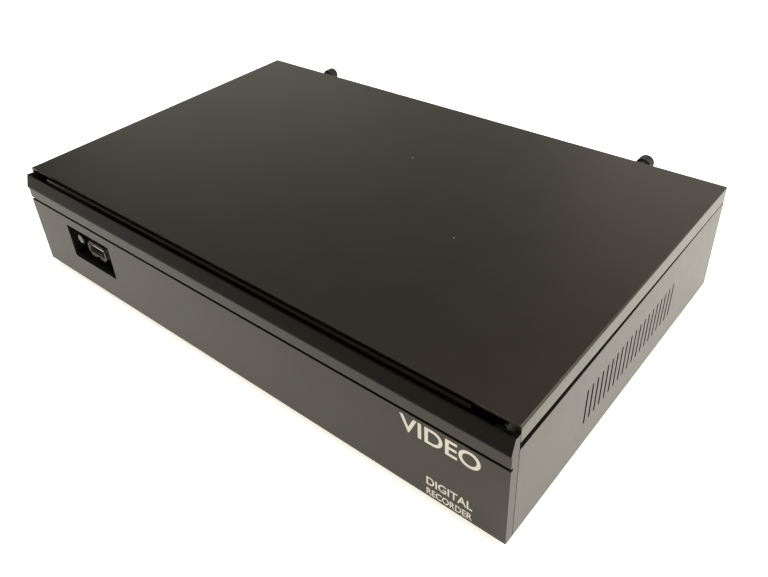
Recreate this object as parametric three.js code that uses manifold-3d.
// A compact video recorder: a steel tray and slide-off cover, a moulded front panel, a main board
// with its rear connectors, and a 3.5 inch hard disk with its moving parts.
// Millimetres. +X is the object's right seen from the front, the front faces -Y, +Z is up.
// The origin is at the middle of the footprint, at the level the feet stand on.
import * as THREE from "three";
import { mergeVertices } from "three/addons/utils/BufferGeometryUtils.js";
import Module from "manifold-3d";

const wasm = await Module();
wasm.setup();

// ---- Driving dimensions ----
const WIDTH = 280;
const HEIGHT = 57;
const BODY_DEPTH = 172; // front edge of the cover to the outside of the rear wall
const NOSE_REACH = 5; // how far the front panel stands in front of the cover
const SCREW_REACH = 10; // how far the thumbscrews stand behind the rear wall
const FOOT_HEIGHT = 3.5;
const SHEET = 1;
const GAP = 0.3; // air between pieces that touch

const HALF = WIDTH / 2;
const FRONT = NOSE_REACH - (NOSE_REACH + BODY_DEPTH + SCREW_REACH) / 2;
const REAR = FRONT + BODY_DEPTH;
const BASE = FOOT_HEIGHT; // underside of the tray
const FLOOR = BASE + SHEET; // inside floor of the tray

// Cover and tray joint
const FLANGE_BOTTOM_FRONT = 50;
const FLANGE_BOTTOM_REAR = 49.2;
const WALL_TOP_FRONT = 46.8;
const WALL_TOP_REAR = 48.8;
const REAR_FLANGE_BOTTOM = 44.9;
const LIP_OUTER = HALF - 4.5; // the tray's inner lip stands well inside the cover
const LIP_INNER = LIP_OUTER - SHEET;
const LIP_TOP = 55;
const REAR_LIP_BACK = REAR - SHEET - GAP;
const REAR_LIP_FRONT = REAR_LIP_BACK - SHEET;
const LEDGE_Z = 44; // where the lip turns out to meet the side wall
const LEDGE_THICK = 1.5;
const TAB_HALF = 11; // the tray's rear tabs that hold the threaded bushes
const BUSH = { r: 2.8, length: 3.5, bore: 1.75, drill: 9 };
const HOOK_XS = [-60, 0, 60];
const HOOK_BOTTOM = 52.5;
const HOOK_THICK = 0.8;
const HOOK_HALF = 7;

// Thumbscrews
const SCREW_X = 100.4;
const SCREW_Z = 52.9;
const SCREW_HEAD_R = 3.7;
const SCREW_SHANK_R = 1.5;
const SCREW_SHANK = 7;
const SCREW_NECK_R = 2.6;
const SCREW_HOLE_R = 2.4;
const COLLAR_LENGTH = 3.3;
const TEETH = { count: 12, depth: 0.35, half: 0.3 };

// Side vents
const VENT_COUNT = 20;
const VENT_PITCH = 3.98;
const VENT_MID_Y = -3;
const VENT_LOW = 16.8;
const VENT_HIGH = 33.9;
const VENT_WIDTH = 1.2;

// Front wall of the tray, behind the panel; depths are measured forwards from the cover's edge
const WALL_FRONT = 1.7;
const WALL_BACK = 0.8;
const WALL_HALF = HALF - 2.5;
const RIB_HALF = 123;
const RIB_TOP = 56.3;
const SHOULDER_TOP = 50;
const CORNER_TAB = { from: 132, top: 54 };
const HOLE_SLACK = 0.5; // room round what passes through the tray

// Front panel outline, the same way
const PANEL_BOTTOM = 4.2;
const PANEL_FACE = 4.6;
const PANEL_BACK = WALL_FRONT + GAP;
const GROOVE_LOW = 40.9;
const GROOVE_HIGH = 42.1;
const GROOVE_FACE = 3.4;
const BAND_FACE = 4.5;
const NOSE_LOW = 47.4;
const NOSE_BEND = 48.4;
const NOSE_TOP = 54.5;
const NOSE_TOP_FACE = 3.1;
const NOSE_TOP_BACK = 2.4;
const PANEL_END = 2.2;
const PANEL_END_TOP = 54.2;
const CLIP_XS = [-128, -50, 50, 128];
const CLIP_Z = 10.5;
const CLIP = { half: 4, thick: 2, reach: 2.5, barb: 3.1 };

// Window in the front panel
const WINDOW = { x0: -110.4, x1: -75.6, z0: 18, z1: 36.4, corner: 0.8 };
const RECESS_MARGIN = 2;
const RECESS_WALL = 1.2;
const RECESS_DEPTH = 3.2; // behind the cover's front edge
const ARM = { half: 3, thick: 4, length: 28, pilot: 0.9 };

// Front board and what is on it
const FRONT_BOARD = { x0: -111.5, x1: -74.5, y0: FRONT + 4.5, y1: FRONT + 30, z0: 24.6 };
const BOARD_THICK = 1.6;
const FRONT_BOARD_SCREWS = [-108.7, -77.3];
const FRONT_BOARD_SCREW_Y = FRONT + 25;
const FRONT_USB_X = -87.65;
const LED_X = -101.7;
const LED_Z = 30.8;
const LED = { r: 2.5, rim: 2.75, rimThick: 1, length: 8.5, soft: 0.3, legX: 1.27, legHalf: 0.25, bend: 2.35 };

// Main board
const BOARD = { x0: -134, x1: 12, y0: -35, y1: 80, z0: 9.6 };
const BOARD_TOP = BOARD.z0 + BOARD_THICK;
const SEAT = BOARD_TOP + GAP; // what stands on the board starts here
const BOARD_SCREWS = [
  ["front_left", -129, -30],
  ["front_right", 7, -30],
  ["rear_left", -129, 52],
  ["rear_right", 7, 50],
];
const BOARD_CUP_FOOT = 4.7;
const BOARD_CUP_TOP = BOARD.z0 - GAP;

// Parts that stand on the main board, as edges in X and Y and heights above their seat
const PROCESSOR = { x0: -62, x1: -38, y0: 6, y1: 30, height: 2.2 };
const MEMORY = { x0: -86, x1: -75, y0: 10, y1: 24, height: 1.1 };
const SINK = { x0: -66, x1: -34, y0: 2, y1: 34, base: 2.5, height: 12 };
const FINS = { count: 9, thick: 1, inset: 0.6, pitch: 3.75 };
const COIN = { x: -112, y: 14, holder: 12, height: 4.6, well: 10.4, floor: 1, notch: 4 };
const CELL = { r: 10, rimR: 9.2, step: 0.6, height: 3.2 };

// Rear connectors
const PORT_FACE = REAR - 0.2;
const INSIDE_WALL = REAR - SHEET - GAP;
const DC_X = -124;
const AUDIO_OUT_X = -108;
const AUDIO_IN_X = -94;
const AUDIO_Z = 18.5;
const VGA_X = -68;
const VGA_Z = 17.8;
const HDMI_X = -40;
const REAR_USB_X = -20;
const LAN_X = 0;
const DC = { half: 4.5, height: 11, length: 13.7, axis: 5.5, bore: 3.2, depth: 9.5, pin: 1, pinShort: 0.8 };
const AUDIO = { half: 5, above: 5.5, depth: 11.7, barrel: 4.15, reach: 8.5, bore: 1.7, hole: 4.7 };
const VGA = { half: 15.4, above: 6.2, depth: 10, low: 7.3, high: 8.5, up: 4.1, reach: 5.5 };
const VGA_STUD = { dx: 12.5, r: 2.4, reach: 4.6, bore: 1.2 };
const VGA_PIN = { r: 0.5, pitch: 2.3, row: 2, stagger: 0.6 };
const HDMI = { half: 7.5, height: 6, length: 12, wall: 0.5, depth: 9, tongueHalf: 5.8, tongue: [2.4, 3.4] };
const LAN = { half: 8, height: 13.4, length: 21 };
const LAN_MOUTH = { half: 5.9, low: 3, high: 11, depth: 13, latchHalf: 3.1, latchLow: 1.2 };

// USB A socket
const USB = { w: 13.2, h: 5.8, wall: 0.35, length: 15.3, lip: 1.1, tongue: 1.8, ears: 0.7 };
const USB_LIP = { depth: 1.6, x: 3.6, half: 2.2 };

// Hard disk, in the disk's own frame: origin under the middle of its case, connectors towards -Y
const DISK_AT = [74.8, 8, 9.5];
const DISK = { w: 101.6, l: 147, h: 26.1 };
const RAIL = 3.2;
const CHAMBER_FLOOR = 8;
const LID_BOTTOM = 24.8;
const SPINDLE_Y = 22.7;
const PLATTER_R = 47.5;
const PLATTER_Z = 14.3;
const PLATTER_THICK = 1.3;
const PIVOT = [26, -28];
const ARM_REACH = 50;
const PARK_ANGLE = 172.4; // degrees from +X, heads clear of the platter
const POST_R = 2.5;
const RAIL_WIDTH = 6.5;
const CHAMBER = { r: 48.4, half: 46, front: -66 };
const POST_TOPS = { spindle: 17.6, pivot: 19.5 };
const LID = { inset: 0.4, rim: 0.4, roundR: 42, half: 38, y0: -60, y1: 10 };
const HUB = { r: 12.5, flange: 15, z0: 10, step: 12.4, clamp: 1.1 };
const ARM_PLATES = [[11.2, 12.6], [16.6, 18]];
const COIL = [13, 16.5];
const ARM_HUB = { r: 6, z0: 9, z1: 18.2 };
const YOKE = { x0: 35, x1: 45.6, y0: -56, y1: -14, lowTop: 11.5, highBottom: 18.6, top: 21.5, wall: 1.2 };
const DISK_BOARD = { half: 43.5, inset: 0.5, y1: 24, z0: 0.9, z1: 2.5 };
const DISK_SOCKET = { x0: -23, x1: 19.5, length: 7, z0: 2.9, z1: 9 };
const DISK_SLOTS = { dataHalf: 6.2, powerHalf: 10.7, low: 4.4, high: 8.2 };
const DISK_CUP_FOOT = 7;
const DISK_CUP_TOP = DISK_AT[2] - GAP;
const DISK_SCREW_X = 47.63;
const DISK_SCREW_YS = [-32.22, 43.98];
const SATA_DATA_X = -14;
const SATA_POWER_X = 6;

const FEET = [
  ["front_left", -118, -70],
  ["front_right", 118, -70],
  ["rear_left", -118, 66],
  ["rear_right", 118, 66],
];
const FOOT_R = 6.5;
const FOOT_STEM = { r: 1.8, barb: 2.6, length: 1.8, hole: 2.1 };

// Screws: head radius and height, shank radius and length
const BOARD_SCREW = [2.9, 2, 1.4, 5];
const SMALL_SCREW = [2.2, 1.6, 0.7, 5];
const DISK_SCREW = [3.2, 2, 1.55, 6];

// Plugs and headers
const HEADER_WALL = 0.9;
const HEADER_HEIGHT = 6;
const PLUG_TOP = SEAT + 10;
const PANEL_HEADER = { x: -93, y: -29, w: 13, d: 6.5 };
const DATA_HEADER = { x: -3, y: -10, w: 15, d: 7 };
const POWER_HEADER = { x: -22, y: -28, w: 13, d: 7.5 };
const PANEL_PLUG = { half: 5.5, halfDepth: 2.5, height: 7, fromEdge: 4 };
const DISK_PLUG = { depth: 8, z0: 13, z1: 19.5, nose: 3.6, noseInset: 1.6, noseLow: 2, noseHigh: 4 };
const DISK_END = DISK_AT[1] - DISK.l / 2;

// ---- Solid helpers ----

function solid(geometry) {
  const bare = geometry.index ? geometry.toNonIndexed() : geometry.clone();
  bare.deleteAttribute("normal");
  bare.deleteAttribute("uv");
  const merged = mergeVertices(bare, 1e-4);
  return new wasm.Manifold(
    new wasm.Mesh({
      numProp: 3,
      vertProperties: merged.attributes.position.array,
      triVerts: new Uint32Array(merged.index.array),
    }),
  );
}

function geometryOf(manifold) {
  const { vertProperties, triVerts } = manifold.getMesh();
  const indexed = new THREE.BufferGeometry();
  indexed.setAttribute("position", new THREE.BufferAttribute(vertProperties, 3));
  indexed.setIndex(new THREE.BufferAttribute(triVerts, 1));
  const flat = indexed.toNonIndexed();
  flat.computeVertexNormals();
  return flat;
}

const join = (first, ...rest) => rest.reduce((whole, piece) => whole.add(piece), first);
const cut = (first, ...rest) => rest.reduce((whole, piece) => whole.subtract(piece), first);

function block(x0, x1, y0, y1, z0, z1) {
  const box = new THREE.BoxGeometry(x1 - x0, y1 - y0, z1 - z0);
  return solid(box.translate((x0 + x1) / 2, (y0 + y1) / 2, (z0 + z1) / 2));
}

// A round bar along Z through (x, y).
function postZ(radius, x, y, z0, z1, sides = 16) {
  const bar = new THREE.CylinderGeometry(radius, radius, z1 - z0, sides);
  return solid(bar.rotateX(Math.PI / 2).translate(x, y, (z0 + z1) / 2));
}

// A round bar along Y through (x, z).
function postY(radius, x, z, y0, y1, sides = 16) {
  const bar = new THREE.CylinderGeometry(radius, radius, y1 - y0, sides);
  return solid(bar.translate(x, (y0 + y1) / 2, z));
}

// A profile of [radius, height] points turned about Z; it runs up the outside.
function turned(profile, sides = 16) {
  const points = profile.map(([r, z]) => new THREE.Vector2(r, z));
  return solid(new THREE.LatheGeometry(points, sides).rotateX(Math.PI / 2));
}

// An outline of [y, z] points pushed along X.
function prismX(outline, x0, x1) {
  const shape = new THREE.Shape(outline.map(([y, z]) => new THREE.Vector2(y, z)));
  const pushed = new THREE.ExtrudeGeometry(shape, { depth: x1 - x0, bevelEnabled: false });
  const turn = new THREE.Matrix4().makeBasis(
    new THREE.Vector3(0, 1, 0),
    new THREE.Vector3(0, 0, 1),
    new THREE.Vector3(1, 0, 0),
  );
  return solid(pushed.applyMatrix4(turn).translate(x0, 0, 0));
}

// An outline in the X-Z plane pushed along Y.
function prismY(shape, y0, y1) {
  const pushed = new THREE.ExtrudeGeometry(shape, { depth: y1 - y0, bevelEnabled: false, curveSegments: 5 });
  return solid(pushed.rotateX(Math.PI / 2).translate(0, y1, 0));
}

// An outline in the X-Y plane pushed along Z.
function prismZ(shape, z0, z1, curveSegments = 6) {
  const pushed = new THREE.ExtrudeGeometry(shape, { depth: z1 - z0, bevelEnabled: false, curveSegments });
  return solid(pushed.translate(0, 0, z0));
}

function roundedRectangle(x0, x1, y0, y1, r) {
  const shape = new THREE.Shape();
  shape.moveTo(x0 + r, y0);
  shape.lineTo(x1 - r, y0);
  shape.absarc(x1 - r, y0 + r, r, -Math.PI / 2, 0);
  shape.lineTo(x1, y1 - r);
  shape.absarc(x1 - r, y1 - r, r, 0, Math.PI / 2);
  shape.lineTo(x0 + r, y1);
  shape.absarc(x0 + r, y1 - r, r, Math.PI / 2, Math.PI);
  shape.lineTo(x0, y0 + r);
  shape.absarc(x0 + r, y0 + r, r, Math.PI, 1.5 * Math.PI);
  return shape;
}

function finish(color, roughness, metalness) {
  return new THREE.MeshStandardMaterial({ color, roughness, metalness });
}
const blackPaint = () => finish(0x23211d, 0.42, 0.2);
const blackPlastic = () => finish(0x24221e, 0.45, 0);
const darkPlastic = () => finish(0x111111, 0.6, 0);
const steel = () => finish(0xb9bcc0, 0.3, 1);
const castAluminium = () => finish(0x9a9ca0, 0.5, 0.9);
const laminate = () => finish(0x14532d, 0.5, 0);
const rubber = () => finish(0x1a1a1a, 0.9, 0);
const whiteNylon = () => finish(0xe6e2d6, 0.5, 0);

function part(name, manifold, material) {
  const mesh = new THREE.Mesh(geometryOf(manifold), material);
  mesh.name = name;
  return mesh;
}

function group(...children) {
  const made = new THREE.Group();
  made.add(...children);
  return made;
}

// ---- Enclosure ----

// A pressed cup that lifts a board or a disk off the floor, hollow below for a screw.
function cupOutside(x, y, top, foot) {
  const buried = BASE + 0.2;
  const slope = 1.2;
  const profile = [[0, buried], [foot, buried], [foot, FLOOR], [foot - slope, top], [0, top]];
  return turned(profile).translate([x, y, 0]);
}

function cupInside(x, y, top, foot) {
  const roof = top - SHEET;
  const below = BASE - 1;
  const rim = foot - SHEET;
  const profile = [[0, below], [rim, below], [rim, BASE], [rim - 1.1, roof], [0, roof]];
  return turned(profile).translate([x, y, 0]);
}

const diskScrewPlaces = DISK_SCREW_YS.flatMap((y) => [-1, 1].map((side) => [
  DISK_AT[0] + side * DISK_SCREW_X,
  DISK_AT[1] + y,
]));

// A slot with blunt pointed ends, close to the round ends of a punched one.
function ventSlot(index) {
  const y = VENT_MID_Y + (index - (VENT_COUNT - 1) / 2) * VENT_PITCH;
  const half = VENT_WIDTH / 2;
  const slope = half * 0.6;
  return [
    [y - half, VENT_LOW + slope],
    [y - half / 3, VENT_LOW],
    [y + half / 3, VENT_LOW],
    [y + half, VENT_LOW + slope],
    [y + half, VENT_HIGH - slope],
    [y + half / 3, VENT_HIGH],
    [y - half / 3, VENT_HIGH],
    [y - half, VENT_HIGH - slope],
  ];
}

function rearCutouts() {
  const from = REAR - 2 * SHEET;
  const to = REAR + 1;
  const opening = (x, half, height) => block(
    x - half - HOLE_SLACK, x + half + HOLE_SLACK,
    from, to,
    SEAT - HOLE_SLACK, SEAT + height + HOLE_SLACK,
  );
  const studHole = (dx) => postY(VGA_STUD.r + HOLE_SLACK, VGA_X + dx, VGA_Z, from, to);
  const vgaHalf = VGA.high + HOLE_SLACK;
  const vgaUp = VGA.up + HOLE_SLACK;
  return [
    opening(DC_X, DC.half, DC.height),
    postY(AUDIO.hole, AUDIO_OUT_X, AUDIO_Z, from, to),
    postY(AUDIO.hole, AUDIO_IN_X, AUDIO_Z, from, to),
    block(VGA_X - vgaHalf, VGA_X + vgaHalf, from, to, VGA_Z - vgaUp, VGA_Z + vgaUp),
    studHole(-VGA_STUD.dx),
    studHole(VGA_STUD.dx),
    opening(HDMI_X, HDMI.half, HDMI.height),
    opening(REAR_USB_X, USB.w / 2 + USB.ears, USB.h + 2 * USB.lip),
    opening(LAN_X, LAN.half, LAN.height),
  ];
}

function frontWall() {
  const from = FRONT - WALL_FRONT;
  const to = FRONT - WALL_BACK;
  const wall = join(
    block(-WALL_HALF, WALL_HALF, from, FRONT + 1, BASE, FLOOR),
    block(-WALL_HALF, WALL_HALF, from, to, BASE, SHOULDER_TOP),
    block(-RIB_HALF, RIB_HALF, from, to, SHOULDER_TOP - 1, RIB_TOP),
    block(-WALL_HALF, -CORNER_TAB.from, from, to, SHOULDER_TOP - 1, CORNER_TAB.top),
    block(CORNER_TAB.from, WALL_HALF, from, to, SHOULDER_TOP - 1, CORNER_TAB.top),
  );
  const through = FRONT - 3;
  const hookHalf = HOOK_HALF + 1;
  const clipHalf = CLIP.half + 1;
  const around = RECESS_MARGIN + 0.4;
  return cut(
    wall,
    ...HOOK_XS.map((x) => block(
      x - hookHalf, x + hookHalf,
      through, FRONT,
      HOOK_BOTTOM - HOLE_SLACK, HOOK_BOTTOM + HOOK_THICK + HOLE_SLACK,
    )),
    ...CLIP_XS.map((x) => block(
      x - clipHalf, x + clipHalf,
      through, FRONT,
      CLIP_Z - 0.4, CLIP_Z + CLIP.barb + 0.4,
    )),
    block(WINDOW.x0 - around, WINDOW.x1 + around, through, FRONT, WINDOW.z0 - around, WINDOW.z1 + around),
  );
}

// One side's wall, the inner lip that the cover rides on, and the rear tab with its threaded bush.
function traySide(side) {
  const x = (a, b) => [Math.min(side * a, side * b), Math.max(side * a, side * b)];
  const wallOutline = [
    [FRONT, BASE],
    [REAR, BASE],
    [REAR, WALL_TOP_REAR],
    [FRONT, WALL_TOP_FRONT],
  ];
  const lipTo = REAR_LIP_FRONT - GAP;
  const screwX = side * SCREW_X;
  return [
    prismX(wallOutline, ...x(HALF - SHEET, HALF)),
    block(...x(LIP_INNER, LIP_OUTER), FRONT - WALL_BACK - 0.1, lipTo, LEDGE_Z, LIP_TOP),
    block(...x(LIP_INNER, HALF - SHEET / 2), FRONT + SHEET, lipTo, LEDGE_Z, LEDGE_Z + LEDGE_THICK),
    block(
      screwX - TAB_HALF, screwX + TAB_HALF,
      REAR_LIP_FRONT, REAR_LIP_BACK,
      SHOULDER_TOP - 1, LIP_TOP + 0.4,
    ),
    postY(BUSH.r, screwX, SCREW_Z, REAR_LIP_FRONT - BUSH.length, REAR_LIP_FRONT + 0.4, 12),
  ];
}

// The rear wall with its lip, which steps in at the ledge to leave room for the cover's flange.
function rearWall() {
  const lipHalf = HALF - 3;
  return join(
    block(-HALF, HALF, REAR - SHEET, REAR, BASE, REAR_FLANGE_BOTTOM - 0.5),
    block(-lipHalf, lipHalf, REAR_LIP_FRONT, REAR_LIP_BACK, LEDGE_Z - 1, SHOULDER_TOP),
    block(-lipHalf, lipHalf, REAR_LIP_FRONT, PORT_FACE, LEDGE_Z - 1.4, LEDGE_Z + 0.2),
  );
}

function cupHoles([x, y], top, foot, holeR) {
  return [cupInside(x, y, top, foot), postZ(holeR, x, y, BASE, top + 1)];
}

function chassisTray() {
  const boardPlaces = BOARD_SCREWS.map(([, x, y]) => [x, y]);
  const whole = join(
    block(-HALF, HALF, FRONT, REAR, BASE, FLOOR),
    frontWall(),
    rearWall(),
    ...traySide(-1),
    ...traySide(1),
    ...boardPlaces.map(([x, y]) => cupOutside(x, y, BOARD_CUP_TOP, BOARD_CUP_FOOT)),
    ...diskScrewPlaces.map(([x, y]) => cupOutside(x, y, DISK_CUP_TOP, DISK_CUP_FOOT)),
  );
  const holes = [
    ...rearCutouts(),
    ...boardPlaces.flatMap((place) => cupHoles(place, BOARD_CUP_TOP, BOARD_CUP_FOOT, 1.7)),
    ...diskScrewPlaces.flatMap((place) => cupHoles(place, DISK_CUP_TOP, DISK_CUP_FOOT, 2)),
    ...FEET.map(([, x, y]) => postZ(FOOT_STEM.hole, x, y, BASE - 1, FLOOR + 1)),
    ...[-SCREW_X, SCREW_X].map((x) => postY(BUSH.bore, x, SCREW_Z, REAR - BUSH.drill, REAR)),
  ];
  for (let i = 0; i < VENT_COUNT; i++) holes.push(prismX(ventSlot(i), -HALF - 1, HALF + 1));
  return part("chassis_tray", cut(whole, ...holes), blackPaint());
}

function coverHook(x) {
  const back = FRONT + SHEET;
  const drop = block(x - HOOK_HALF, x + HOOK_HALF, FRONT, back, HOOK_BOTTOM, HEIGHT - 0.5);
  const tongue = block(
    x - HOOK_HALF, x + HOOK_HALF,
    FRONT - WALL_FRONT + 0.1, back,
    HOOK_BOTTOM, HOOK_BOTTOM + HOOK_THICK,
  );
  return join(drop, tongue);
}

function topCover() {
  const half = HALF - SHEET - GAP;
  const flangeOutline = [
    [FRONT, FLANGE_BOTTOM_FRONT],
    [REAR, FLANGE_BOTTOM_REAR],
    [REAR, HEIGHT],
    [FRONT, HEIGHT],
  ];
  const whole = join(
    block(-HALF, HALF, FRONT, REAR, HEIGHT - SHEET, HEIGHT),
    prismX(flangeOutline, -HALF, -HALF + SHEET),
    prismX(flangeOutline, HALF - SHEET, HALF),
    block(-half, half, REAR - SHEET, REAR, REAR_FLANGE_BOTTOM, HEIGHT),
    ...HOOK_XS.map(coverHook),
  );
  const holes = [-SCREW_X, SCREW_X].map((x) => postY(SCREW_HOLE_R, x, SCREW_Z, REAR - 2, REAR + 1, 20));
  return part("top_cover", cut(whole, ...holes), blackPaint());
}

// Points of the panel's section as [y, z]; a depth counts forwards from the cover's front edge.
function panelOutline(back, backTop) {
  const face = [
    [back, PANEL_BOTTOM],
    [PANEL_FACE, PANEL_BOTTOM],
    [PANEL_FACE, GROOVE_LOW],
    [GROOVE_FACE, GROOVE_LOW],
    [GROOVE_FACE, GROOVE_HIGH],
    [BAND_FACE, GROOVE_HIGH],
    [BAND_FACE, NOSE_LOW],
    [NOSE_REACH, NOSE_LOW],
    [NOSE_REACH, NOSE_BEND],
    [NOSE_TOP_FACE, NOSE_TOP],
    ...backTop,
  ];
  return face.map(([depth, z]) => [FRONT - depth, z]).reverse();
}

function panelClip(x) {
  const [x0, x1] = [x - CLIP.half, x + CLIP.half];
  const arm = block(x0, x1, FRONT - PANEL_BACK - 0.5, FRONT + CLIP.reach, CLIP_Z, CLIP_Z + CLIP.thick);
  const barb = block(x0, x1, FRONT - WALL_BACK + GAP, FRONT + CLIP.reach - 1, CLIP_Z + 1, CLIP_Z + CLIP.barb);
  return join(arm, barb);
}

function frontPanel() {
  const wall = panelOutline(PANEL_BACK, [
    [NOSE_TOP_BACK, NOSE_TOP],
    [NOSE_TOP_BACK, SHOULDER_TOP + 0.6],
    [PANEL_BACK, SHOULDER_TOP + 0.3],
  ]);
  const end = panelOutline(GAP, [
    [NOSE_TOP_BACK, NOSE_TOP],
    [NOSE_TOP_BACK, PANEL_END_TOP],
    [GAP, PANEL_END_TOP],
  ]);
  const window = prismY(
    roundedRectangle(WINDOW.x0, WINDOW.x1, WINDOW.z0, WINDOW.z1, WINDOW.corner),
    FRONT - NOSE_REACH - 1,
    FRONT,
  );
  const body = join(
    prismX(wall, -HALF, HALF),
    prismX(end, -HALF, -HALF + PANEL_END),
    prismX(end, HALF - PANEL_END, HALF),
    ...CLIP_XS.map(panelClip),
  );
  return part("front_panel", cut(body, window), blackPlastic());
}

// ---- Front window: recess, board, socket and light ----

function portRecess() {
  const [x0, x1] = [WINDOW.x0 - RECESS_MARGIN, WINDOW.x1 + RECESS_MARGIN];
  const [z0, z1] = [WINDOW.z0 - RECESS_MARGIN, WINDOW.z1 + RECESS_MARGIN];
  const mouth = FRONT - WALL_FRONT;
  const back = FRONT + RECESS_DEPTH;
  const inside = RECESS_WALL;
  const tray = cut(
    block(x0, x1, mouth, back, z0, z1),
    block(x0 + inside, x1 - inside, mouth - 1, back - inside, z0 + inside, z1 - inside),
  );
  const armTop = FRONT_BOARD.z0 - GAP;
  const armBottom = armTop - ARM.thick;
  const arms = FRONT_BOARD_SCREWS.map((x) => block(
    x - ARM.half, x + ARM.half,
    back - inside, FRONT + ARM.length,
    armBottom, armTop,
  ));
  const usbHalf = USB.w / 2 + 0.9;
  const usbLow = FRONT_BOARD.z0 - 0.6;
  const usbHigh = FRONT_BOARD.z0 + BOARD_THICK + GAP + USB.h + 0.7;
  const pilot = (x) => postZ(ARM.pilot, x, FRONT_BOARD_SCREW_Y, armBottom - 1, armTop + 1, 12);
  const holes = [
    block(FRONT_USB_X - usbHalf, FRONT_USB_X + usbHalf, FRONT, back + 1, usbLow, usbHigh),
    postY(LED.r + GAP, LED_X, LED_Z, FRONT, back + 1),
    ...FRONT_BOARD_SCREWS.map(pilot),
  ];
  return part("port_recess", cut(join(tray, ...arms), ...holes), darkPlastic());
}

function frontBoard() {
  const { x0, x1, y0, y1, z0 } = FRONT_BOARD;
  const sheet = block(x0, x1, y0, y1, z0, z0 + BOARD_THICK);
  const holes = FRONT_BOARD_SCREWS.map((x) => postZ(1.25, x, FRONT_BOARD_SCREW_Y, z0 - 1, z0 + 3));
  return part("front_board", cut(sheet, ...holes), laminate());
}

// A socket's folded shell with flared lips. Its mouth is at local y = 0 and faces -Y.
function usbShell(name) {
  const half = USB.w / 2;
  const inner = half - USB.wall;
  const tube = cut(
    block(-half, half, 0, USB.length, 0, USB.h),
    block(-inner, inner, -1, USB.length + 1, USB.wall, USB.h - USB.wall),
  );
  const topFlare = [[0, USB.h + USB.lip], [0, USB.h - USB.wall], [USB_LIP.depth, USB.h - 0.1]];
  const lowFlare = [[0, USB.wall], [0, -USB.lip], [USB_LIP.depth, 0.1]];
  const lowLips = [-USB_LIP.x, USB_LIP.x].map((x) => prismX(lowFlare, x - USB_LIP.half, x + USB_LIP.half));
  return part(name, join(tube, prismX(topFlare, -half + 1, half - 1), ...lowLips), steel());
}

function usbTongue(name) {
  const half = USB.w / 2 - USB.wall - GAP;
  const low = USB.wall + GAP;
  const high = USB.h - USB.wall - GAP;
  const base = block(-half, half, USB.length - 4, USB.length - 0.2, low, high);
  const tongue = block(-half + 0.5, half - 0.5, 1.2, USB.length - 3, high - USB.tongue, high);
  return part(name, join(base, tongue), whiteNylon());
}

function frontSocket() {
  const socket = group(usbShell("front_usb_shell"), usbTongue("front_usb_tongue"));
  socket.position.set(FRONT_USB_X, FRONT - PANEL_FACE + 0.3, FRONT_BOARD.z0 + BOARD_THICK + GAP);
  return socket;
}

// A 5 mm light with a flat face towards -Y and its two legs bent down to the board.
function statusLight() {
  const { r, rim, rimThick, length, soft, legX, legHalf, bend } = LED;
  const profile = [
    [0, 0],
    [rim, 0],
    [rim, rimThick],
    [r, rimThick],
    [r, length - soft],
    [r - soft, length],
    [0, length],
  ];
  const lying = turned(profile, 20).rotate([90, 0, 0]);
  const legBottom = FRONT_BOARD.z0 + BOARD_THICK + GAP - LED_Z;
  const legs = [-legX, legX].map((x) => join(
    block(x - legHalf, x + legHalf, -0.4, bend + legHalf, -legHalf, legHalf),
    block(x - legHalf, x + legHalf, bend - legHalf, bend + legHalf, legBottom, legHalf),
  ));
  const light = part("status_light", join(lying, ...legs), finish(0xb9bab4, 0.25, 0));
  light.position.set(LED_X, FRONT + RECESS_DEPTH + GAP + rimThick, LED_Z);
  return light;
}

// A pan head over a plain shank; local z = 0 is under the head.
function panScrew(name, [headR, headH, shankR, shankL]) {
  const rim = headH * 0.45;
  const body = turned([
    [0, -shankL],
    [shankR, -shankL],
    [shankR, 0],
    [headR, 0],
    [headR, rim],
    [headR * 0.72, headH],
    [0, headH],
  ]);
  const arm = headR * 0.5;
  const slotHalf = 0.35;
  const slotFloor = headH * 0.4;
  const cross = join(
    block(-arm, arm, -slotHalf, slotHalf, slotFloor, headH + 1),
    block(-slotHalf, slotHalf, -arm, arm, slotFloor, headH + 1),
  );
  return part(name, cut(body, cross), steel());
}

function frontBoardScrews() {
  return ["left", "right"].map((place, i) => {
    const screw = panScrew("front_board_screw_" + place, SMALL_SCREW);
    screw.position.set(FRONT_BOARD_SCREWS[i], FRONT_BOARD_SCREW_Y, FRONT_BOARD.z0 + BOARD_THICK + GAP);
    return screw;
  });
}

// ---- Feet and thumbscrews ----

function foot([place, x, y]) {
  const under = BASE - GAP;
  const stemTop = FLOOR + FOOT_STEM.length;
  const profile = [
    [0, 0],
    [FOOT_R - 0.8, 0],
    [FOOT_R, 0.8],
    [FOOT_R - 0.3, under],
    [FOOT_STEM.r, under],
    [FOOT_STEM.r, FLOOR + GAP],
    [FOOT_STEM.barb, FLOOR + 0.5],
    [FOOT_STEM.r + 0.1, stemTop],
    [0, stemTop],
  ];
  const made = part("foot_" + place, turned(profile), rubber());
  made.position.set(x, y, 0);
  return made;
}

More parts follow.
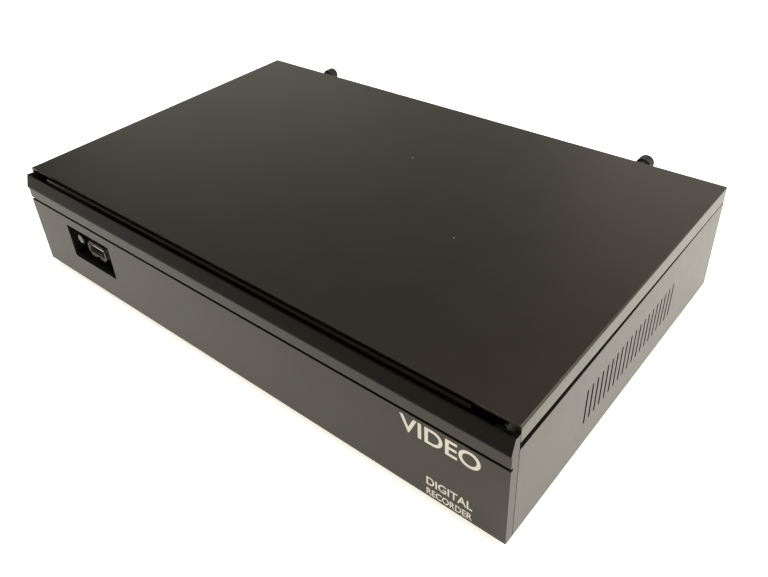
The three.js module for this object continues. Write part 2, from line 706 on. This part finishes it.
// Local z runs backwards out of the recorder; z = 0 is the outside of the cover's rear flange.
function thumbscrew(side) {
  const headFrom = COLLAR_LENGTH + 2 * GAP;
  const profile = [
    [0, -SCREW_SHANK],
    [SCREW_SHANK_R, -SCREW_SHANK],
    [SCREW_SHANK_R, headFrom - GAP],
    [SCREW_NECK_R, headFrom - GAP],
    [SCREW_NECK_R, headFrom],
    [SCREW_HEAD_R - 0.4, headFrom],
    [SCREW_HEAD_R, headFrom + 0.5],
    [SCREW_HEAD_R, SCREW_REACH - 1.2],
    [SCREW_HEAD_R - 0.9, SCREW_REACH - 0.3],
    [SCREW_HEAD_R - 2, SCREW_REACH],
    [0, SCREW_REACH],
  ];
  const { count, depth, half } = TEETH;
  const grooveFrom = headFrom + 0.8;
  const groove = block(SCREW_HEAD_R - depth, SCREW_HEAD_R + 1, -half, half, grooveFrom, SCREW_REACH - 1.5);
  const grooves = [];
  for (let i = 0; i < count; i++) grooves.push(groove.rotate([0, 0, (i * 360) / count]));
  return part("thumbscrew_" + side, cut(turned(profile, 24), ...grooves), finish(0x171615, 0.5, 0.3));
}

function collar(side) {
  const bore = SCREW_SHANK_R + 0.2;
  const neck = SCREW_HOLE_R - GAP;
  const outer = SCREW_NECK_R + GAP;
  const profile = [
    [bore, -0.9],
    [neck, -0.9],
    [neck, GAP],
    [outer, GAP],
    [outer, COLLAR_LENGTH - 0.4],
    [outer - 0.4, COLLAR_LENGTH],
    [bore, COLLAR_LENGTH],
    [bore, -0.9],
  ];
  return part("thumbscrew_collar_" + side, turned(profile), finish(0x171615, 0.5, 0.3));
}

function captiveScrew(side) {
  const screw = group(thumbscrew(side), collar(side));
  screw.rotation.x = -Math.PI / 2;
  screw.position.set(side === "left" ? -SCREW_X : SCREW_X, REAR, SCREW_Z);
  return screw;
}

// ---- Main board ----

function mainBoard() {
  const { x0, x1, y0, y1, z0 } = BOARD;
  const sheet = block(x0, x1, y0, y1, z0, BOARD_TOP);
  const holes = BOARD_SCREWS.map(([, x, y]) => postZ(1.75, x, y, z0 - 1, BOARD_TOP + 1));
  return part("main_board", cut(sheet, ...holes), laminate());
}

function boardScrews() {
  return BOARD_SCREWS.map(([place, x, y]) => {
    const screw = panScrew("board_screw_" + place, BOARD_SCREW);
    screw.position.set(x, y, SEAT);
    return screw;
  });
}

function chip(name, { x0, x1, y0, y1, height }) {
  return part(name, block(x0, x1, y0, y1, SEAT, SEAT + height), darkPlastic());
}

function heatSink() {
  const { x0, x1, y0, y1, base, height } = SINK;
  const z = SEAT + PROCESSOR.height + GAP;
  const blades = [];
  for (let i = 0; i < FINS.count; i++) {
    const x = x0 + FINS.inset + i * FINS.pitch;
    blades.push(block(x, x + FINS.thick, y0, y1, z + base - 1, z + height));
  }
  return part("heat_sink", join(block(x0, x1, y0, y1, z, z + base), ...blades), castAluminium());
}

function coinCell() {
  const { x, y, holder, height, well, floor, notch } = COIN;
  const wellFloor = SEAT + floor;
  const above = SEAT + height + 1.4;
  const cup = cut(
    postZ(holder, x, y, SEAT, SEAT + height, 28),
    postZ(well, x, y, wellFloor, above, 28),
    block(x - notch, x + notch, y - holder - 1, y - holder + notch, wellFloor, above),
  );
  const { r, rimR, step, height: thick } = CELL;
  const profile = [[0, 0], [rimR, 0], [rimR, step], [r, step], [r, thick], [0, thick]];
  const cell = part("coin_cell", turned(profile, 28), steel());
  cell.position.set(x, y, wellFloor + GAP);
  return [part("coin_cell_holder", cup, darkPlastic()), cell];
}

function dcJack() {
  const z = SEAT + DC.axis;
  const top = SEAT + DC.height;
  const body = block(DC_X - DC.half, DC_X + DC.half, PORT_FACE - DC.length, PORT_FACE, SEAT, top);
  const bore = postY(DC.bore, DC_X, z, PORT_FACE - DC.depth, PORT_FACE + 1, 20);
  const pin = postY(DC.pin, DC_X, z, PORT_FACE - DC.depth - 0.5, PORT_FACE - DC.pinShort, 12);
  return part("dc_jack", join(cut(body, bore), pin), darkPlastic());
}

function audioJack(name, x) {
  const foot = block(
    x - AUDIO.half, x + AUDIO.half,
    INSIDE_WALL - AUDIO.depth, INSIDE_WALL,
    SEAT, AUDIO_Z + AUDIO.above,
  );
  const barrel = postY(AUDIO.barrel, x, AUDIO_Z, REAR - 2, REAR + AUDIO.reach, 24);
  const bore = postY(AUDIO.bore, x, AUDIO_Z, REAR - 4, REAR + AUDIO.reach + 1, 12);
  return part(name, cut(join(foot, barrel), bore), finish(0x9a9a9a, 0.3, 0.6));
}

function vgaPort() {
  const shape = new THREE.Shape();
  shape.moveTo(-VGA.low, -VGA.up);
  shape.lineTo(VGA.low, -VGA.up);
  shape.lineTo(VGA.high, VGA.up);
  shape.lineTo(-VGA.high, VGA.up);
  shape.closePath();
  const shell = prismY(shape, INSIDE_WALL - 1, REAR + VGA.reach).translate([VGA_X, 0, VGA_Z]);
  const pinHoles = [];
  for (const row of [-1, 0, 1]) {
    for (const column of [-2, -1, 0, 1, 2]) {
      const x = VGA_X + column * VGA_PIN.pitch - row * VGA_PIN.stagger;
      pinHoles.push(postY(VGA_PIN.r, x, VGA_Z + row * VGA_PIN.row, REAR - 2, REAR + VGA.reach + 1, 6));
    }
  }
  const housing = block(
    VGA_X - VGA.half, VGA_X + VGA.half,
    INSIDE_WALL - VGA.depth, INSIDE_WALL,
    SEAT, VGA_Z + VGA.above,
  );
  const { dx, r, reach, bore } = VGA_STUD;
  const studs = [-dx, dx].map((side) => postY(r, VGA_X + side, VGA_Z, INSIDE_WALL - 1, REAR + reach, 6));
  const bores = [-dx, dx].map((side) => postY(bore, VGA_X + side, VGA_Z, REAR, REAR + reach + 1, 8));
  return part("vga_port", cut(join(housing, shell, ...studs), ...pinHoles, ...bores), steel());
}

function hdmiPort() {
  const { half, height, length, wall, depth, tongueHalf, tongue } = HDMI;
  const body = block(HDMI_X - half, HDMI_X + half, PORT_FACE - length, PORT_FACE, SEAT, SEAT + height);
  const inner = half - wall;
  const mouth = cut(
    block(
      HDMI_X - inner, HDMI_X + inner,
      PORT_FACE - depth, PORT_FACE + 1,
      SEAT + wall, SEAT + height - wall,
    ),
    block(
      HDMI_X - tongueHalf, HDMI_X + tongueHalf,
      PORT_FACE - depth - 1, PORT_FACE - 1.5,
      SEAT + tongue[0], SEAT + tongue[1],
    ),
  );
  return part("hdmi_port", cut(body, mouth), steel());
}

function rearSocket() {
  const socket = group(usbShell("rear_usb_shell"), usbTongue("rear_usb_tongue"));
  socket.rotation.z = Math.PI;
  socket.position.set(REAR_USB_X, PORT_FACE, SEAT + USB.lip);
  return socket;
}

function lanJack() {
  const { half, height, length } = LAN;
  const { half: mouthHalf, low, high, depth, latchHalf, latchLow } = LAN_MOUTH;
  const from = PORT_FACE - depth;
  const to = PORT_FACE + 1;
  const body = block(LAN_X - half, LAN_X + half, PORT_FACE - length, PORT_FACE, SEAT, SEAT + height);
  const opening = block(LAN_X - mouthHalf, LAN_X + mouthHalf, from, to, SEAT + low, SEAT + high);
  const notch = block(LAN_X - latchHalf, LAN_X + latchHalf, from, to, SEAT + latchLow, SEAT + low + 0.5);
  return part("lan_jack", cut(body, opening, notch), steel());
}

// ---- Plugs, headers and the cables held inside ----

function openBox(x0, x1, y0, y1, z0, z1, wall) {
  return cut(
    block(x0, x1, y0, y1, z0, z1),
    block(x0 + wall, x1 - wall, y0 + wall, y1 - wall, z0 + wall, z1 + 1),
  );
}

function cable(name, radius, route, material) {
  const points = route.map(([x, y, z]) => new THREE.Vector3(x, y, z));
  const path = new THREE.CatmullRomCurve3(points, false, "centripetal");
  const sides = 8;
  const circle = new THREE.Path().absarc(0, 0, radius, 0, 2 * Math.PI);
  const ring = new THREE.Shape(circle.getSpacedPoints(sides).slice(0, sides));
  const steps = Math.round(path.getLength() / (radius * 4));
  const swept = new THREE.ExtrudeGeometry(ring, { steps, extrudePath: path, bevelEnabled: false });
  return part(name, solid(swept), material);
}

// A shrouded header on the board and the plug that stands in it.
function headerPair(headerName, plugName, { x, y, w, d }, material) {
  const shroud = openBox(x - w / 2, x + w / 2, y - d / 2, y + d / 2, SEAT, SEAT + HEADER_HEIGHT, HEADER_WALL);
  const inset = HEADER_WALL + GAP;
  const plug = block(
    x - w / 2 + inset, x + w / 2 - inset,
    y - d / 2 + inset, y + d / 2 - inset,
    SEAT + inset, PLUG_TOP,
  );
  return [part(headerName, shroud, whiteNylon()), part(plugName, plug, material)];
}

function boardHeaders() {
  return [
    ...headerPair("panel_header", "panel_plug", PANEL_HEADER, whiteNylon()),
    ...headerPair("sata_data_header", "sata_data_plug_board", DATA_HEADER, darkPlastic()),
    ...headerPair("disk_power_header", "disk_power_plug_board", POWER_HEADER, whiteNylon()),
  ];
}

function diskPlug(name, localX, width) {
  const x = DISK_AT[0] + localX;
  const back = DISK_END - GAP;
  const { depth, z0, z1, nose, noseInset, noseLow, noseHigh } = DISK_PLUG;
  const half = width / 2;
  const tipHalf = half - noseInset;
  const body = block(x - half, x + half, back - depth, back, z0, z1);
  const tip = block(x - tipHalf, x + tipHalf, back - 1, back + nose, z0 + noseLow, z0 + noseHigh);
  return part(name, join(body, tip), darkPlastic());
}

function innerCables() {
  const top = PLUG_TOP + GAP;
  const plugY = DISK_END - GAP - DISK_PLUG.depth / 2;
  const dataX = DISK_AT[0] + SATA_DATA_X;
  const powerX = DISK_AT[0] + SATA_POWER_X;
  const rise = DISK_PLUG.z1 + GAP;
  const data = [
    [dataX, plugY, rise],
    [dataX, plugY, rise + 8],
    [dataX - 12, plugY + 1, rise + 18],
    [dataX - 36, plugY + 12, rise + 19],
    [DATA_HEADER.x + 8, DATA_HEADER.y - 22, top + 13],
    [DATA_HEADER.x, DATA_HEADER.y, top + 8],
    [DATA_HEADER.x, DATA_HEADER.y, top],
  ];
  const power = [
    [powerX, plugY, rise],
    [powerX, plugY, rise + 8],
    [powerX - 12, plugY - 4, rise + 22],
    [powerX - 48, plugY - 3, rise + 24],
    [POWER_HEADER.x + 16, POWER_HEADER.y - 28, top + 16],
    [POWER_HEADER.x, POWER_HEADER.y, top + 9],
    [POWER_HEADER.x, POWER_HEADER.y, top],
  ];
  const { half, halfDepth, height, fromEdge } = PANEL_PLUG;
  const frontY = FRONT_BOARD.y1 - fromEdge;
  const frontZ = FRONT_BOARD.z0 + BOARD_THICK;
  const panel = [
    [PANEL_HEADER.x, frontY, frontZ + height + 2 * GAP],
    [PANEL_HEADER.x, frontY + 1, frontZ + 13],
    [PANEL_HEADER.x, (frontY + PANEL_HEADER.y) / 2 + 4, frontZ + 17],
    [PANEL_HEADER.x, PANEL_HEADER.y, top + 7],
    [PANEL_HEADER.x, PANEL_HEADER.y, top],
  ];
  const frontPlug = block(
    PANEL_HEADER.x - half, PANEL_HEADER.x + half,
    frontY - halfDepth, frontY + halfDepth,
    frontZ + GAP, frontZ + height,
  );
  return [
    part("panel_plug_front", frontPlug, whiteNylon()),
    cable("panel_cable", 1.7, panel, finish(0x9c9c9c, 0.6, 0)),
    diskPlug("sata_data_plug_disk", SATA_DATA_X, 14),
    cable("sata_data_cable", 1.9, data, finish(0xa02020, 0.5, 0)),
    diskPlug("disk_power_plug_disk", SATA_POWER_X, 23),
    cable("disk_power_cable", 2.2, power, finish(0xc8b020, 0.5, 0)),
  ];
}

// ---- Hard disk ----

function postAt([x, y], radius, z0, z1, sides) {
  return postZ(radius, x, y, z0, z1, sides);
}

function diskCase() {
  const halfW = DISK.w / 2;
  const halfL = DISK.l / 2;
  const top = LID_BOTTOM - GAP;
  const railIn = halfW - RAIL_WIDTH;
  const outside = join(
    prismZ(roundedRectangle(-halfW, halfW, -halfL, halfL, 3), RAIL, top, 4),
    block(-halfW, -railIn, -halfL + 3, halfL - 3, 0, RAIL + 1),
    block(railIn, halfW, -halfL + 3, halfL - 3, 0, RAIL + 1),
  );
  const chamber = join(
    postAt([0, SPINDLE_Y], CHAMBER.r, CHAMBER_FLOOR, top + 1, 40),
    block(-CHAMBER.half, CHAMBER.half, CHAMBER.front, SPINDLE_Y - 20, CHAMBER_FLOOR, top + 1),
  );
  const socketRoom = block(
    DISK_SOCKET.x0 - 0.5, DISK_SOCKET.x1 + 0.5,
    -halfL - 1, -halfL + DISK_SOCKET.length + 1,
    -1, DISK_SOCKET.z1 + 0.4,
  );
  const screwHole = (x, y) => postZ(1.9, x, y, -1, RAIL_WIDTH, 12);
  const screwHoles = DISK_SCREW_YS.flatMap((y) => [screwHole(-DISK_SCREW_X, y), screwHole(DISK_SCREW_X, y)]);
  const posts = [
    postAt([0, SPINDLE_Y], POST_R, CHAMBER_FLOOR - 1, POST_TOPS.spindle, 16),
    postAt(PIVOT, POST_R, CHAMBER_FLOOR - 1, POST_TOPS.pivot, 16),
  ];
  return part("disk_case", join(cut(outside, chamber, socketRoom, ...screwHoles), ...posts), castAluminium());
}

function diskLid() {
  const halfW = DISK.w / 2 - LID.inset;
  const halfL = DISK.l / 2 - LID.inset;
  const low = DISK.h - 1;
  const plate = prismZ(roundedRectangle(-halfW, halfW, -halfL, halfL, 3), LID_BOTTOM, DISK.h - LID.rim, 4);
  const overPlatter = postAt([0, SPINDLE_Y], LID.roundR, low, DISK.h, 32);
  const overArm = block(-LID.half, LID.half, LID.y0, LID.y1, low, DISK.h);
  return part("disk_lid", join(plate, overPlatter, overArm), steel());
}

function diskBoard() {
  const { half, inset, y1, z0, z1 } = DISK_BOARD;
  return part("disk_board", block(-half, half, -DISK.l / 2 + inset, y1, z0, z1), laminate());
}

function diskConnector() {
  const { x0, x1, length, z0, z1 } = DISK_SOCKET;
  const { dataHalf, powerHalf, low, high } = DISK_SLOTS;
  const from = -DISK.l / 2;
  const opening = (x, half) => block(x - half, x + half, from - 1, from + length - 2, low, high);
  const body = block(x0, x1, from, from + length, z0, z1);
  const openings = [opening(SATA_DATA_X, dataHalf), opening(SATA_POWER_X, powerHalf)];
  return part("disk_connector", cut(body, ...openings), darkPlastic());
}

function platter() {
  const top = PLATTER_Z + PLATTER_THICK;
  const bore = HUB.r + GAP;
  const profile = [
    [bore, PLATTER_Z],
    [PLATTER_R, PLATTER_Z],
    [PLATTER_R, top],
    [bore, top],
    [bore, PLATTER_Z],
  ];
  const disk = part("disk_platter", turned(profile, 40), finish(0xd8dadc, 0.05, 1));
  disk.position.set(0, SPINDLE_Y, 0);
  return disk;
}

// The motor hub and the clamp that holds the platter on it.
function spindleHub() {
  const { r, flange, z0, step, clamp } = HUB;
  const bore = POST_R + GAP;
  const above = PLATTER_Z + PLATTER_THICK + GAP;
  const profile = [
    [bore, z0],
    [r, z0],
    [r, step],
    [flange, step],
    [flange, PLATTER_Z - GAP],
    [r, PLATTER_Z - GAP],
    [r, above],
    [flange, above],
    [flange, above + clamp],
    [bore, above + clamp],
    [bore, z0],
  ];
  const hub = part("spindle_hub", turned(profile, 20), steel());
  hub.position.set(0, SPINDLE_Y, 0);
  return hub;
}

// Two arms, one each side of the platter, on one pivot with the coil behind it.
function actuatorArm() {
  const armShape = new THREE.Shape();
  armShape.moveTo(0, -5);
  armShape.lineTo(ARM_REACH, -1.4);
  armShape.lineTo(ARM_REACH, 1.4);
  armShape.lineTo(0, 5);
  armShape.closePath();
  const coilShape = new THREE.Shape();
  coilShape.moveTo(0, -4);
  coilShape.lineTo(0, 4);
  coilShape.lineTo(-16, 7.5);
  coilShape.lineTo(-17, 0);
  coilShape.lineTo(-16, -7.5);
  coilShape.closePath();
  const { r, z0, z1 } = ARM_HUB;
  const plates = ARM_PLATES.map(([low, high]) => prismZ(armShape, low, high));
  const whole = join(postZ(r, 0, 0, z0, z1, 20), ...plates, prismZ(coilShape, ...COIL));
  const bored = cut(whole, postZ(POST_R + GAP, 0, 0, z0 - 1, z1 + 1));
  const arm = part("actuator_arm", bored, castAluminium());
  arm.position.set(...PIVOT, 0);
  arm.rotation.z = (PARK_ANGLE * Math.PI) / 180;
  return arm;
}

// Two magnet plates, above and below the coil, joined at the outer edge.
function magnetYoke() {
  const { x0, x1, y0, y1, lowTop, highBottom, top, wall } = YOKE;
  const bottom = CHAMBER_FLOOR + GAP;
  const yoke = join(
    block(x0, x1, y0, y1, bottom, lowTop),
    block(x0, x1, y0, y1, highBottom, top),
    block(x1 - wall, x1, y0, y1, bottom, top),
  );
  return part("magnet_yoke", yoke, steel());
}

function hardDisk() {
  const disk = group(
    diskCase(),
    diskLid(),
    diskBoard(),
    diskConnector(),
    platter(),
    spindleHub(),
    actuatorArm(),
    magnetYoke(),
  );
  disk.position.set(...DISK_AT);
  return disk;
}

function diskScrews() {
  const names = ["front_left", "front_right", "rear_left", "rear_right"];
  return diskScrewPlaces.map(([x, y], i) => {
    const screw = panScrew("disk_screw_" + names[i], DISK_SCREW);
    screw.rotation.x = Math.PI;
    screw.position.set(x, y, DISK_CUP_TOP - SHEET - GAP);
    return screw;
  });
}

const enclosure = group(chassisTray(), topCover(), frontPanel(), ...FEET.map(foot));
const coverScrews = group(captiveScrew("left"), captiveScrew("right"));
const frontPorts = group(portRecess(), frontBoard(), frontSocket(), statusLight(), ...frontBoardScrews());
const electronics = group(
  mainBoard(),
  ...boardScrews(),
  chip("processor", PROCESSOR),
  chip("memory_chip", MEMORY),
  heatSink(),
  ...coinCell(),
  dcJack(),
  audioJack("audio_out_jack", AUDIO_OUT_X),
  audioJack("audio_in_jack", AUDIO_IN_X),
  vgaPort(),
  hdmiPort(),
  rearSocket(),
  lanJack(),
  ...boardHeaders(),
);
const drive = group(hardDisk(), ...diskScrews());
const recorder = group(enclosure, coverScrews, frontPorts, electronics, ...innerCables(), drive);
recorder.name = "video_recorder";

export default recorder;
